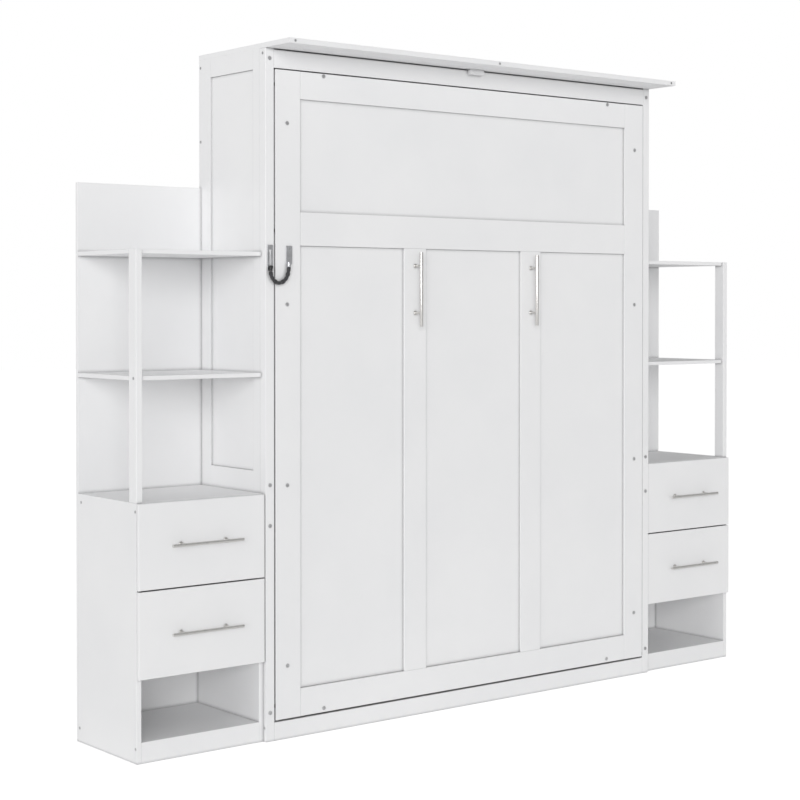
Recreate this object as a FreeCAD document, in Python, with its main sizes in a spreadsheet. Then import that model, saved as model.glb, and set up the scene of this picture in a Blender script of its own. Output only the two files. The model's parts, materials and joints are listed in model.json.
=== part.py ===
import FreeCAD, Part
import math
import os
import re

import Sketcher

# Folding wall bed in its upright position, between two open shelf towers with drawers.
# Millimetres. X runs across the front, the front faces -Y, Z is up, and the floor is Z = 0.
# Depths are counted back from the cabinet's front face, whose Y is the cell face_y.

AXIS_X = FreeCAD.Vector(1, 0, 0)
TURN_Z_TO_X = FreeCAD.Rotation(FreeCAD.Vector(0, 1, 0), 90)
TURN_Z_TO_FRONT = FreeCAD.Rotation(AXIS_X, 90)
UPRIGHT = FreeCAD.Rotation()

DIMENSIONS = (
    ("half_w", 860), ("cab_h", 2173), ("cab_d", 387), ("face_y", -127.5),
    ("crown_t", 16), ("crown_over", 132), ("crown_gap", 3.5), ("crown_block_w", 60),
    ("crown_block_t", 18), ("crown_sink", 3), ("over", 1),
    ("post_w", 32), ("post_d", 32), ("side_t", 20), ("side_front", 70), ("side_rear", 317),
    ("side_top", 2111), ("side_mid", 848), ("side_mid_low", 748), ("side_low", 100),
    ("panel_set", 5), ("panel_t", 8), ("face_rail_t", 20), ("face_rail_z", 2112),
    ("base_rail_t", 18), ("base_rail_h", 58.5), ("back_t", 6), ("wall_rail_t", 20),
    ("wall_rail_h", 90), ("wall_hole_r", 4.5), ("wall_hole_x", 600), ("wall_hole_z", 2128),
    ("door_half", 824), ("door_low", 65), ("door_top", 2108), ("door_front", -3),
    ("door_back", 17), ("door_stile_w", 95), ("top_rail_z", 2021), ("mid_rail_top", 1664),
    ("mid_rail_low", 1558), ("bottom_rail_z", 154), ("divider_x", 261), ("divider_w", 94),
    ("door_recess", 8), ("rail_in", 798), ("rail_out", 818), ("frame_back", 134),
    ("frame_low", 22), ("frame_top", 2095), ("frame_step", 22), ("end_t", 18),
    ("slat_v", 60), ("slat_t", 18), ("slat_h", 70), ("beam_w", 36),
    ("pivot_v", 60), ("pivot_z", 300), ("pin_r", 8), ("fit", 0.05),
    ("pin_gap", 0.5), ("plate_t", 3), ("plate_w", 80), ("plate_h", 120),
    ("leg_v", 75), ("leg_z", 2050), ("leg_in", 819.5), ("leg_t", 5), ("leg_half", 12),
    ("leg_crank", 75), ("leg_reach", 307), ("leg_pin_r", 6), ("leg_pad_t", 7),
    ("leg_pad_w", 30), ("leg_pad_in", 817.5), ("leg_pad_x", 9), ("cap_gap", 0.3),
    ("cap_t", 1.5), ("cap_rim", 3),
    ("strut_x", 832.7), ("strut_r", 6.2), ("rod_r", 3.5), ("eye_r", 9), ("eye_t", 12),
    ("stud_r", 4), ("tail_stud_l", 8.2), ("stud_reach", 14.5), ("flange_r", 12),
    ("flange_t", 0.8), ("strut_v", 190), ("strut_z", 820), ("tail_v", 100), ("tail_z", 120),
    ("neck_from", 5), ("tube_from", 25), ("tube_to", 430), ("rod_from", 400),
    ("bore_from", 150),
    ("tower_w", 454), ("tower_v", 15), ("tower_t", 16), ("tower_h", 780),
    ("tower_back_h", 1754), ("tower_back_t", 12), ("plinth_h", 64), ("plinth_t", 14),
    ("ceiling_z", 256), ("ceiling_t", 12), ("shelf_v", 23), ("shelf_t", 13),
    ("shelf_upper", 1537), ("shelf_mid", 1158), ("post_x", 21), ("post_y", 43),
    ("front_t", 12), ("front_gap", 2), ("front_inset", 1), ("front_split", 517),
    ("front_low", 253), ("slide_t", 11.5), ("slide_h", 45), ("slide_gap", 1),
    ("slide_v", 20), ("slide_l", 350), ("slide_up", 60), ("box_l", 350), ("box_h", 185),
    ("box_t", 12), ("box_floor_t", 6), ("box_floor_up", 8), ("box_low_z", 285),
    ("box_up_z", 545),
    ("bar_r", 6), ("bar_l", 246), ("bar_z", 1422), ("bar_off", 32), ("bar_post", 78),
    ("bar_post_r", 4.5), ("pull_r", 5), ("pull_l", 252), ("pull_off", 31),
    ("pull_post", 80), ("pull_post_r", 4), ("pull_up_z", 649), ("pull_low_z", 382),
    ("bolt_r", 6), ("bolt_t", 1.5), ("bolt_key", 2.6), ("screw_r", 4.2), ("screw_t", 0.8),
    ("screw_key", 1.9), ("small_r", 3.2), ("small_key", 1.5), ("bumper_w", 3),
    ("bumper_h", 11), ("bumper_d", 9),
    ("track_x", -843.5), ("track_w", 20), ("track_low", 1478), ("track_top", 1558),
    ("track_t", 2), ("slot_r", 2.6), ("slot_low", 1488), ("slot_top", 1531),
    ("key_r", 5), ("key_z", 1540), ("track_screw_in", 3.4), ("catch_x", -773),
    ("catch_w", 21), ("catch_low", 1499), ("catch_top", 1556), ("catch_t", 2.5),
    ("ferrule_r", 6), ("ferrule_l", 14), ("ferrule_v", -11), ("ferrule_x", -779),
    ("catch_end", 1490), ("knob_r", 6), ("knob_t", 6), ("knob_gap", 0.3), ("shank_l", 4),
    ("knob_lift", 1.3), ("knob_end", 1477), ("tail_x", -848.5), ("cord_r", 5),
)

DOOR_BOLTS = (
    ("-780", "232"), ("-780", "802"), ("-780", "1372"), ("-780", "1942"),
    ("780", "232"), ("780", "802"), ("780", "1372"), ("780", "1942"),
    ("-638", "2100"), ("638", "2100"), ("-638", "78"), ("638", "78"),
)
FACE_BOLT_HEIGHTS = ("2141", "806", "678", "91")
SIDE_SCREWS = (("15", "2157"), ("377", "2147"), ("377", "1905"), ("8", "44"))
TOWER_SCREWS = (("355", "754"), ("21", "754"), ("367", "45"), ("22", "45"), ("31", "1151.5"))
CROWN_SCREWS = ("-838", "0", "838")
BUMPERS = (("-1", "2056"), ("-1", "1598"), ("-1", "105"), ("1", "68"))
SLAT_COUNT = 14
SLAT_FIRST = 80
SLAT_PITCH = 142
LEG_STOWED_TURN = -210
CATCH_SCREWS = ("1512", "1529", "1547")
CORD_ROUTE = (
    (-779.0, 1489.7), (-780.5, 1457.0), (-816.0, 1434.0), (-846.0, 1453.0), (-848.5, 1475.8),
)
ARC_SHARE = 0.45
DRIVE_SHARE = 0.4

doc = FreeCAD.newDocument("wall_bed")
sheet = doc.addObject("Spreadsheet::Sheet", "dims")
nodes = []


def fill_sheet():
    """Write every dimension as a plain number with a word alias."""
    for row, (alias, value) in enumerate(DIMENSIONS, start=1):
        sheet.set("A%d" % row, alias)
        sheet.set("B%d" % row, str(value))
        sheet.setAlias("B%d" % row, alias)
    doc.recompute()


def link(text):
    """Turn bare dimension names into references to the sheet."""
    return re.sub(r"[a-z][a-z_]*", lambda found: "dims." + found.group(0), str(text))


def bind(obj, **expressions):
    for prop, text in expressions.items():
        obj.setExpression(prop.replace("__", "."), link(text))


def place(obj, x, v, z, turn=UPRIGHT):
    """Put an object at a point given across, back from the face, and up."""
    obj.Placement = FreeCAD.Placement(FreeCAD.Vector(), turn)
    bind(obj, Placement__Base__x=x, Placement__Base__y="face_y + (%s)" % v, Placement__Base__z=z)
    return obj


def box(name, x, v, z):
    """A board between two limits on each axis."""
    item = doc.addObject("Part::Box", name)
    bind(
        item,
        Length="(%s) - (%s)" % (x[1], x[0]),
        Width="(%s) - (%s)" % (v[1], v[0]),
        Height="(%s) - (%s)" % (z[1], z[0]),
    )
    return place(item, x[0], v[0], z[0])


def mirrored(x):
    return ("-(%s)" % x[1], "-(%s)" % x[0])


def both(name, x, v, z):
    """The same board on the right and on the left."""
    return [box(name + "_r", x, v, z), box(name + "_l", mirrored(x), v, z)]


def rod(name, x, v, z, radius, length, turn=UPRIGHT):
    item = doc.addObject("Part::Cylinder", name)
    bind(item, Radius=radius, Height=length)
    return place(item, x, v, z, turn)


def cut(name, base, tool):
    item = doc.addObject("Part::Cut", name)
    item.Base = base
    item.Tool = tool
    return item


def fuse(name, shapes):
    item = doc.addObject("Part::MultiFuse", name)
    item.Shapes = shapes
    return item


def node(label, items):
    """Name one sub-part, made of one solid or of a group of separate solids."""
    part = items[0]
    if len(items) > 1:
        part = doc.addObject("Part::Compound", label)
        part.Links = items
    part.Label = label
    nodes.append(part)
    return part


def value(alias):
    return float(sheet.get(alias))


def base_plane(body, role):
    """One of a body's own origin planes."""
    return [feature for feature in body.Origin.OriginFeatures if feature.Role == role][0]


def fix_point(sketch, curve, end, point):
    """Hold one sketch point at two expressions."""
    for kind, text in zip(("DistanceX", "DistanceY"), point[0]):
        spot = dict(zip(("DistanceX", "DistanceY"), point[1]))[kind]
        number = sketch.addConstraint(Sketcher.Constraint(kind, -1, 1, curve, end, spot))
        sketch.setExpression("Constraints[%d]" % number, link(text))


def outline_body(name, role, corners, holes, thickness):
    """A plate padded from a sketch of corners and round holes, on one origin plane."""
    body = doc.addObject("PartDesign::Body", name)
    sketch = body.newObject("Sketcher::SketchObject", name + "_outline")
    sketch.AttachmentSupport = [(base_plane(body, role), "")]
    sketch.MapMode = "FlatFace"
    spots = [(corner, (measure(corner[0]), measure(corner[1]))) for corner in corners]
    count = len(spots)
    for index in range(count):
        start = FreeCAD.Vector(*spots[index][1], 0)
        stop = FreeCAD.Vector(*spots[(index + 1) % count][1], 0)
        sketch.addGeometry(Part.LineSegment(start, stop))
    for index in range(count):
        sketch.addConstraint(Sketcher.Constraint("Coincident", index, 2, (index + 1) % count, 1))
    for index in range(count):
        fix_point(sketch, index, 1, spots[index])
    for x, y, radius in holes:
        middle = (measure(x), measure(y))
        size = measure(radius)
        round_hole = Part.Circle(FreeCAD.Vector(*middle, 0), FreeCAD.Vector(0, 0, 1), size)
        curve = sketch.addGeometry(round_hole)
        fix_point(sketch, curve, 3, ((x, y), middle))
        number = sketch.addConstraint(Sketcher.Constraint("Radius", curve, size))
        sketch.setExpression("Constraints[%d]" % number, link(radius))
    pad = body.newObject("PartDesign::Pad", name + "_pad")
    pad.Profile = sketch
    bind(pad, Length=thickness)
    sketch.Visibility = False
    return body


def measure(text):
    """The number an expression comes to, read from a construction point."""
    bind(probe, X=text)
    probe.recompute()
    return float(probe.X)


def build_cabinet():
    rear = ("side_rear", "cab_d")
    front = ("post_d", "side_front")
    between = ("side_front", "side_rear")
    skin = ("half_w - side_t", "half_w")
    parts = both("side_stile_front", skin, front, ("0", "cab_h"))
    parts += both("side_stile_rear", skin, rear, ("0", "cab_h"))
    parts += both("side_rail_top", skin, between, ("side_top", "cab_h"))
    parts += both("side_rail_mid", skin, between, ("side_mid_low", "side_mid"))
    parts += both("side_rail_low", skin, between, ("0", "side_low"))
    node("side_frames", parts)
    panel = ("half_w - panel_set - panel_t", "half_w - panel_set")
    parts = both("side_panel_up", panel, between, ("side_mid", "side_top"))
    parts += both("side_panel_down", panel, between, ("side_low", "side_mid_low"))
    node("side_panels", parts)
    corner = ("half_w - post_w", "half_w")
    node("face_stiles", both("face_stile", corner, ("0", "post_d"), ("0", "cab_h")))
    clear = ("-half_w + post_w", "half_w - post_w")
    node("face_top_rail", [box("top", clear, ("0", "face_rail_t"), ("face_rail_z", "cab_h - crown_gap"))])
    node("face_base_rail", [box("base", clear, ("0", "base_rail_t"), ("0", "base_rail_h"))])
    block = ("-crown_block_w / 2", "crown_block_w / 2")
    under = ("cab_h - crown_block_t", "cab_h")
    node("crown_block", [box("block", block, ("-crown_block_t", "0"), under)])
    inner = ("-half_w + side_t", "half_w - side_t")
    open_height = ("wall_rail_h", "cab_h - wall_rail_h")
    node("back_board", [box("back", inner, ("cab_d - back_t", "cab_d"), open_height)])
    depth = ("cab_d - wall_rail_t", "cab_d")
    top = box("wall_rail_top", inner, depth, ("cab_h - wall_rail_h", "cab_h"))
    holes = []
    for x in ("-wall_hole_x", "wall_hole_x"):
        name = "anchor_hole_%d" % len(holes)
        depth_through = "wall_rail_t + 2 * over"
        spot = (x, "cab_d + over", "wall_hole_z")
        holes.append(rod(name, *spot, "wall_hole_r", depth_through, TURN_Z_TO_FRONT))
    drilled = cut("wall_rail_drilled", top, fuse("anchor_holes", holes))
    node("wall_rails", [drilled, box("wall_rail_base", inner, depth, ("0", "wall_rail_h"))])


def build_crown():
    board = box("crown", ("-half_w", "half_w"), ("-crown_over", "cab_d"), ("cab_h", "cab_h + crown_t"))
    height = "cab_h + crown_t / 2"
    sink = ("screw_r + fit", "crown_sink + over")
    sinks = [
        rod("sink_%d" % index, x, "-crown_over + crown_sink", height, *sink, TURN_Z_TO_FRONT)
        for index, x in enumerate(CROWN_SCREWS)
    ]
    node("crown_board", [cut("crown_sunk", board, fuse("sinks", sinks))])


def head(name, x, v, z, radius, thickness, key, turn=TURN_Z_TO_FRONT):
    """A low round head with a six-sided drive recess, standing out along the turned Z."""
    disc = rod(name + "_disc", x, v, z, radius, thickness, turn)
    drive = doc.addObject("Part::Prism", name + "_drive")
    drive.Polygon = 6
    bind(drive, Circumradius=key, Height=thickness)
    outward = turn.multVec(FreeCAD.Vector(0, 0, 1))
    offset = "(%s) + (%s) * (%.1f)"
    drive_x = offset % (x, thickness, DRIVE_SHARE * outward.x)
    drive_v = offset % (v, thickness, DRIVE_SHARE * outward.y)
    place(drive, drive_x, drive_v, z, turn)
    return cut(name, disc, drive)


def build_fasteners():
    bolts = [
        head("door_bolt_%d" % index, x, "door_front", z, "bolt_r", "bolt_t", "bolt_key")
        for index, (x, z) in enumerate(DOOR_BOLTS)
    ]
    node("door_bolts", bolts)
    bolts = []
    for sign in ("-", ""):
        x = sign + "(half_w - post_w / 2)"
        for z in FACE_BOLT_HEIGHTS:
            bolts.append(head("face_bolt_%d" % len(bolts), x, "0", z, "bolt_r", "bolt_t", "bolt_key"))
    node("face_bolts", bolts)
    height = "cab_h + crown_t / 2"
    sunk = ("screw_r", "crown_sink", "screw_key")
    screws = [
        head("crown_screw_%d" % index, x, "-crown_over + crown_sink", height, *sunk)
        for index, x in enumerate(CROWN_SCREWS)
    ]
    screws += side_heads("side_screw", SIDE_SCREWS, "half_w")
    node("cabinet_screws", screws)
    node("tower_screws", side_heads("tower_screw", TOWER_SCREWS, "half_w + tower_w"))


def side_heads(name, spots, reach):
    heads = []
    for sign, angle in (("", 90), ("-", -90)):
        turn = FreeCAD.Rotation(FreeCAD.Vector(0, 1, 0), angle)
        for v, z in spots:
            label = "%s_%d" % (name, len(heads))
            x = "%s(%s)" % (sign, reach)
            heads.append(head(label, x, v, z, "screw_r", "screw_t", "screw_key", turn))
    return heads


def build_bumpers():
    pads = []
    for sign, z in BUMPERS:
        middle = "%s * (half_w - post_w - bumper_w / 2)" % sign
        x = (middle + " - bumper_w / 2", middle + " + bumper_w / 2")
        pads.append(box("bumper_%d" % len(pads), x, ("0", "bumper_d"), (z, z + " + bumper_h")))
    node("gap_bumpers", pads)


def build_door():
    depth = ("door_front", "door_back")
    sheet_depth = ("door_front + door_recess", "door_front + door_recess + panel_t")
    inner = "door_half - door_stile_w"
    full = ("-(%s)" % inner, inner)
    node("door_stiles", both("stile", (inner, "door_half"), depth, ("door_low", "door_top")))
    node("door_top_rail", [box("rail_top", full, depth, ("top_rail_z", "door_top"))])
    node("door_mid_rail", [box("rail_mid", full, depth, ("mid_rail_low", "mid_rail_top"))])
    node("door_bottom_rail", [box("rail_low", full, depth, ("door_low", "bottom_rail_z"))])
    divider = ("divider_x - divider_w / 2", "divider_x + divider_w / 2")
    low = ("bottom_rail_z", "mid_rail_low")
    node("door_dividers", both("divider", divider, depth, low))
    node("door_upper_panel", [box("panel_up", full, sheet_depth, ("mid_rail_top", "top_rail_z"))])
    middle = ("-divider_x + divider_w / 2", "divider_x - divider_w / 2")
    panels = both("panel_low", ("divider_x + divider_w / 2", inner), sheet_depth, low)
    panels.append(box("panel_low_mid", middle, sheet_depth, low))
    node("door_lower_panels", panels)


def build_bed_frame():
    corners = (
        ("door_back", "door_low"), ("door_back", "frame_top"), ("frame_back", "frame_top"),
        ("frame_back", "frame_low"), ("frame_step", "frame_low"), ("frame_step", "door_low"),
    )
    bore = (("pivot_v", "pivot_z", "pin_r + fit"),)
    rails = []
    for name, x in (("rail_r", "rail_in"), ("rail_l", "-rail_out")):
        body = outline_body("bed_" + name, "YZ_Plane", corners, bore, "rail_out - rail_in")
        rails.append(place(body, x, "0", "0"))
    node("bed_side_rails", rails)
    inner = ("-rail_in", "rail_in")
    foot = box("rail_foot", inner, ("door_back", "frame_back"), ("frame_top - end_t", "frame_top"))
    head_depth = ("frame_step", "frame_back")
    head_rail = box("rail_head", inner, head_depth, ("frame_low", "frame_low + end_t"))
    node("bed_end_rails", [foot, head_rail])
    beam_x = ("-beam_w / 2", "beam_w / 2")
    beam_z = ("door_low", "frame_top - end_t")
    node("bed_centre_beam", [box("beam", beam_x, ("door_back", "slat_v"), beam_z)])
    slats = []
    for index in range(SLAT_COUNT):
        low = str(SLAT_FIRST + SLAT_PITCH * index)
        rise = (low, low + " + slat_h")
        slats.append(box("slat_%d" % index, inner, ("slat_v", "slat_v + slat_t"), rise))
    node("bed_slats", slats)


def build_pivots():
    brackets = []
    for sign, start in (("r", "rail_in + pin_gap"), ("l", "-(half_w - side_t)")):
        plate_x = ("half_w - side_t - plate_t", "half_w - side_t")
        plate_x = plate_x if sign == "r" else mirrored(plate_x)
        across = ("post_d", "post_d + plate_w")
        up = ("pivot_z - plate_h / 2", "pivot_z + plate_h / 2")
        plate = box("pivot_plate_" + sign, plate_x, across, up)
        length = "half_w - side_t - rail_in - pin_gap"
        pin = rod("pivot_pin_" + sign, start, "pivot_v", "pivot_z", "pin_r", length, TURN_Z_TO_X)
        brackets.append(fuse("pivot_bracket_" + sign, [plate, pin]))
    node("pivot_brackets", brackets)
    studs = []
    for sign, start in (("r", "rail_out"), ("l", "-rail_out - tail_stud_l")):
        stud = rod("tail_stud_" + sign, start, "tail_v", "tail_z", "stud_r", "tail_stud_l", TURN_Z_TO_X)
        studs.append(stud)
    node("strut_studs", studs)


def build_legs():
    corners = (
        ("leg_half", "-leg_half"), ("leg_half", "leg_crank + leg_half"),
        ("-leg_reach", "leg_crank + leg_half"), ("-leg_reach", "leg_crank - leg_half"),
        ("-leg_half", "leg_crank - leg_half"), ("-leg_half", "-leg_half"),
    )
    bore = (("0", "0", "leg_pin_r + fit"),)
    reach = ("-leg_reach - leg_pad_t", "-leg_reach")
    rise = ("leg_crank - leg_pad_w / 2", "leg_crank + leg_pad_w / 2")
    pad_corners = ((reach[0], rise[0]), (reach[1], rise[0]), (reach[1], rise[1]), (reach[0], rise[1]))
    stowed = FreeCAD.Rotation(AXIS_X, LEG_STOWED_TURN)
    legs = []
    pads = []
    pins = []
    for sign in ("r", "l"):
        leg_x = "leg_in" if sign == "r" else "-leg_in - leg_t"
        pad_x = "leg_pad_in" if sign == "r" else "-leg_pad_in - leg_pad_x"
        leg = outline_body("leg_" + sign, "YZ_Plane", corners, bore, "leg_t")
        legs.append(place(leg, leg_x, "leg_v", "leg_z", stowed))
        pad = outline_body("leg_pad_" + sign, "YZ_Plane", pad_corners, (), "leg_pad_x")
        pads.append(place(pad, pad_x, "leg_v", "leg_z", stowed))
        tip = "leg_in + leg_t + cap_gap"
        pin_x = "rail_out" if sign == "r" else "-(%s)" % tip
        cap_x = tip if sign == "r" else "-(%s) - cap_t" % tip
        span = tip + " - rail_out"
        rim = "leg_pin_r + cap_rim"
        pin = rod("leg_pin_" + sign, pin_x, "leg_v", "leg_z", "leg_pin_r", span, TURN_Z_TO_X)
        cap = rod("leg_cap_" + sign, cap_x, "leg_v", "leg_z", rim, "cap_t", TURN_Z_TO_X)
        pins.append(fuse("leg_rivet_" + sign, [pin, cap]))
    node("legs", legs)
    node("leg_pads", pads)
    node("leg_pins", pins)


def build_struts():
    """Gas struts on both sides, each from a cabinet stud down to the bed's tail."""
    run = (measure("tail_v - strut_v"), measure("tail_z - strut_z"))
    length = math.hypot(*run)
    along = FreeCAD.Rotation(AXIS_X, math.degrees(math.atan2(-run[0], run[1])))
    unit = (run[0] / length, run[1] / length)

    def barrel(name, x, start, stop, radius):
        v = "strut_v + (%s) * %.9f" % (start, unit[0])
        z = "strut_z + (%s) * %.9f" % (start, unit[1])
        return rod(name, x, v, z, radius, "(%s) - (%s)" % (stop, start), along)

    def eye(name, x, v, z):
        ring = rod(name + "_ring", "(%s) - eye_t / 2" % x, v, z, "eye_r", "eye_t", TURN_Z_TO_X)
        hole = rod(name + "_hole", "(%s) - eye_t" % x, v, z, "stud_r + fit", "2 * eye_t", TURN_Z_TO_X)
        return ring, hole

    tubes = []
    rods = []
    anchors = []
    for sign, x in (("r", "strut_x"), ("l", "-strut_x")):
        ring, hole = eye("tube_eye_" + sign, x, "strut_v", "strut_z")
        neck = barrel("tube_neck_" + sign, x, "neck_from", "tube_from + over", "stud_r")
        tube = barrel("tube_wall_" + sign, x, "tube_from", "tube_to", "strut_r")
        bore = barrel("tube_bore_" + sign, x, "bore_from", "tube_to + over", "rod_r + fit")
        whole = fuse("tube_whole_" + sign, [ring, neck, tube])
        tubes.append(cut("strut_tube_" + sign, whole, fuse("tube_voids_" + sign, [hole, bore])))
        ring, hole = eye("rod_eye_" + sign, x, "tail_v", "tail_z")
        stem = barrel("rod_stem_" + sign, x, "rod_from", "%.6f - neck_from" % length, "rod_r")
        rods.append(cut("strut_rod_" + sign, fuse("rod_whole_" + sign, [ring, stem]), hole))
        wall = "half_w - side_t"
        stud_x = wall + " - stud_reach" if sign == "r" else "-(%s)" % wall
        flange_x = wall + " - flange_t" if sign == "r" else "-(%s)" % wall
        spot = ("strut_v", "strut_z")
        stud = rod("anchor_stud_" + sign, stud_x, *spot, "stud_r", "stud_reach", TURN_Z_TO_X)
        flange = rod("anchor_flange_" + sign, flange_x, *spot, "flange_r", "flange_t", TURN_Z_TO_X)
        anchors.append(fuse("strut_anchor_" + sign, [stud, flange]))
    node("strut_cylinders", tubes)
    node("strut_rods", rods)
    node("strut_anchors", anchors)


def handle(name, x, v, z, upright):
    """A bar handle on two posts that stand on the face at depth v."""
    kind = "bar" if upright else "pull"
    bar_turn = UPRIGHT if upright else TURN_Z_TO_X
    bar_v = "(%s) - %s_off" % (v, kind)
    lead = "(%s) - %s_l / 2" % (z if upright else x, kind)
    bar_x = x if upright else lead
    bar_z = lead if upright else z
    pieces = [rod(name + "_grip", bar_x, bar_v, bar_z, kind + "_r", kind + "_l", bar_turn)]
    for sign in ("-", "+"):
        post_x = x if upright else "(%s) %s pull_post" % (x, sign)
        post_z = "(%s) %s bar_post" % (z, sign) if upright else z
        label = name + ("_near" if sign == "-" else "_far")
        pieces.append(rod(label, post_x, v, post_z, kind + "_post_r", kind + "_off", TURN_Z_TO_FRONT))
    return fuse(name, pieces)


def build_door_handles():
    grips = [
        handle("door_handle_" + side, x, "door_front", "bar_z", True)
        for side, x in (("l", "-divider_x"), ("r", "divider_x"))
    ]
    node("door_handles", grips)


def build_towers():
    inner = ("half_w", "half_w + tower_t")
    outer = ("half_w + tower_w - tower_t", "half_w + tower_w")
    depth = ("tower_v", "cab_d - tower_back_t")
    panels = both("tower_inner", inner, depth, ("0", "tower_h"))
    panels += both("tower_outer", outer, depth, ("0", "tower_h"))
    node("tower_sides", panels)
    width = ("half_w", "half_w + tower_w")
    rear = ("cab_d - tower_back_t", "cab_d")
    node("tower_backs", both("tower_back", width, rear, ("0", "tower_back_h")))
    clear = ("half_w + tower_t", "half_w + tower_w - tower_t")
    boards = both("tower_top", clear, depth, ("tower_h - tower_t", "tower_h"))
    boards += both("tower_ceiling", clear, depth, ("ceiling_z", "ceiling_z + ceiling_t"))
    behind = ("tower_v + plinth_t", "cab_d - tower_back_t")
    boards += both("tower_floor", clear, behind, ("plinth_h - tower_t", "plinth_h"))
    node("tower_boards", boards)
    node("tower_plinths", both("plinth", clear, ("tower_v", "tower_v + plinth_t"), ("0", "plinth_h")))
    post = ("half_w + tower_w - post_x", "half_w + tower_w")
    post_v = ("tower_v", "tower_v + post_y")
    node("tower_posts", both("tower_post", post, post_v, ("tower_h", "shelf_upper")))
    shelves = []
    for level in ("shelf_mid", "shelf_upper"):
        z = ("%s - shelf_t" % level, level)
        boards = both("board_" + level, width, ("shelf_v", "cab_d - tower_back_t"), z)
        clear_z = ("%s - shelf_t - over" % level, level + " + over")
        notches = both("notch_" + level, post, post_v, clear_z)
        for board, notch in zip(boards, notches):
            shelves.append(cut(board.Name + "_notched", board, notch))
    node("tower_shelves", shelves)


def drawer_name(side, level):
    return "drawer_%s_%s" % ({"r": "right", "l": "left"}[side], level)


def build_drawer(side, level, front_z, box_z, pull_z):
    """An overlay front with its pull, on an open box of five boards."""
    name = drawer_name(side, level)

    def across(start, stop):
        return (start, stop) if side == "r" else mirrored((start, stop))

    front_x = across("half_w + front_gap", "half_w + tower_w - front_inset")
    node(name + "_front", [box(name + "_face", front_x, ("tower_v - front_t", "tower_v"), front_z)])
    low_x = "half_w + tower_t + slide_t + slide_gap"
    high_x = "half_w + tower_w - tower_t - slide_t - slide_gap"
    walls_z = (box_z, box_z + " + box_h")
    front_v = ("tower_v", "tower_v + box_t")
    back_v = ("tower_v + box_l - box_t", "tower_v + box_l")
    side_v = ("tower_v + box_t", "tower_v + box_l - box_t")
    floor_z = (box_z + " + box_floor_up", box_z + " + box_floor_up + box_floor_t")
    boards = [
        box(name + "_wall_in", across(low_x, low_x + " + box_t"), side_v, walls_z),
        box(name + "_wall_out", across(high_x + " - box_t", high_x), side_v, walls_z),
        box(name + "_wall_front", across(low_x, high_x), front_v, walls_z),
        box(name + "_wall_back", across(low_x, high_x), back_v, walls_z),
        box(name + "_floor", across(low_x + " + box_t", high_x + " - box_t"), side_v, floor_z),
    ]
    node(name + "_box", boards)
    middle = ("" if side == "r" else "-") + "(half_w + tower_w / 2)"
    pull = handle(name + "_pull", middle, "tower_v - front_t", pull_z, False)
    node(name + "_handle", [pull])


def build_drawers():
    upper = ("front_split + front_gap", "tower_h - front_gap")
    lower = ("front_low", "front_split - front_gap")
    rails = []
    for side in ("l", "r"):
        build_drawer(side, "upper", upper, "box_up_z", "pull_up_z")
        build_drawer(side, "lower", lower, "box_low_z", "pull_low_z")
    for z in ("box_up_z + slide_up", "box_low_z + slide_up"):
        depth = ("slide_v", "slide_v + slide_l")
        for x in (
            ("half_w + tower_t", "half_w + tower_t + slide_t"),
            ("half_w + tower_w - tower_t - slide_t", "half_w + tower_w - tower_t"),
        ):
            rails += both("slide_%d" % len(rails), x, depth, (z, z + " + slide_h"))
    node("slide_rails", rails)


def rectangle(half, low, top):
    return (("-" + half, low), (half, low), (half, top), ("-" + half, top))


def build_latch():
    half = "track_w / 2"
    corners = rectangle(half, "track_low", "track_top")
    plate = outline_body("track_plate", "XZ_Plane", corners, (("0", "key_z", "key_r"),), "track_t")
    place(plate, "track_x", "0", "0")
    through = "track_t + 2 * over"
    ends = [
        rod("slot_end_" + name, "track_x", "over", name, "slot_r", through, TURN_Z_TO_FRONT)
        for name in ("slot_low", "slot_top")
    ]
    lane_x = ("track_x - slot_r", "track_x + slot_r")
    lane = box("slot_lane", lane_x, ("-track_t - over", "over"), ("slot_low", "key_z"))
    node("chain_track", [cut("track_slotted", plate, fuse("slot", ends + [lane]))])
    small = ("small_r", "screw_t", "small_key")
    heads = [
        head("track_screw_%d" % index, "track_x", "-track_t", z, *small)
        for index, z in enumerate(("track_low + track_screw_in", "track_top - track_screw_in"))
    ]
    node("track_screws", heads)
    shank = ("slot_r - 2 * fit", "shank_l", TURN_Z_TO_FRONT)
    disc = ("knob_r", "knob_t", TURN_Z_TO_FRONT)
    knob = [
        rod("knob_shank", "track_x", "-knob_gap", "slot_low", *shank),
        rod("knob_disc", "track_x", "-track_t - knob_lift", "slot_low", *disc),
        rod("knob_ferrule", "tail_x", "ferrule_v", "knob_end", "ferrule_r", "slot_low - knob_end"),
    ]
    node("chain_slider", [fuse("knob", knob)])
    half = "catch_w / 2"
    corners = rectangle(half, "catch_low", "catch_top")
    plate = outline_body("catch_body", "XZ_Plane", corners, (), "catch_t")
    place(plate, "catch_x", "door_front", "0")
    ferrule = rod("catch_ferrule", "ferrule_x", "ferrule_v", "catch_end", "ferrule_r", "ferrule_l")
    node("chain_plate", [fuse("catch", [plate, ferrule])])
    heads = [
        head("catch_screw_%d" % index, "catch_x", "door_front - catch_t", z, *small)
        for index, z in enumerate(CATCH_SCREWS)
    ]
    node("plate_screws", heads)


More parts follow.
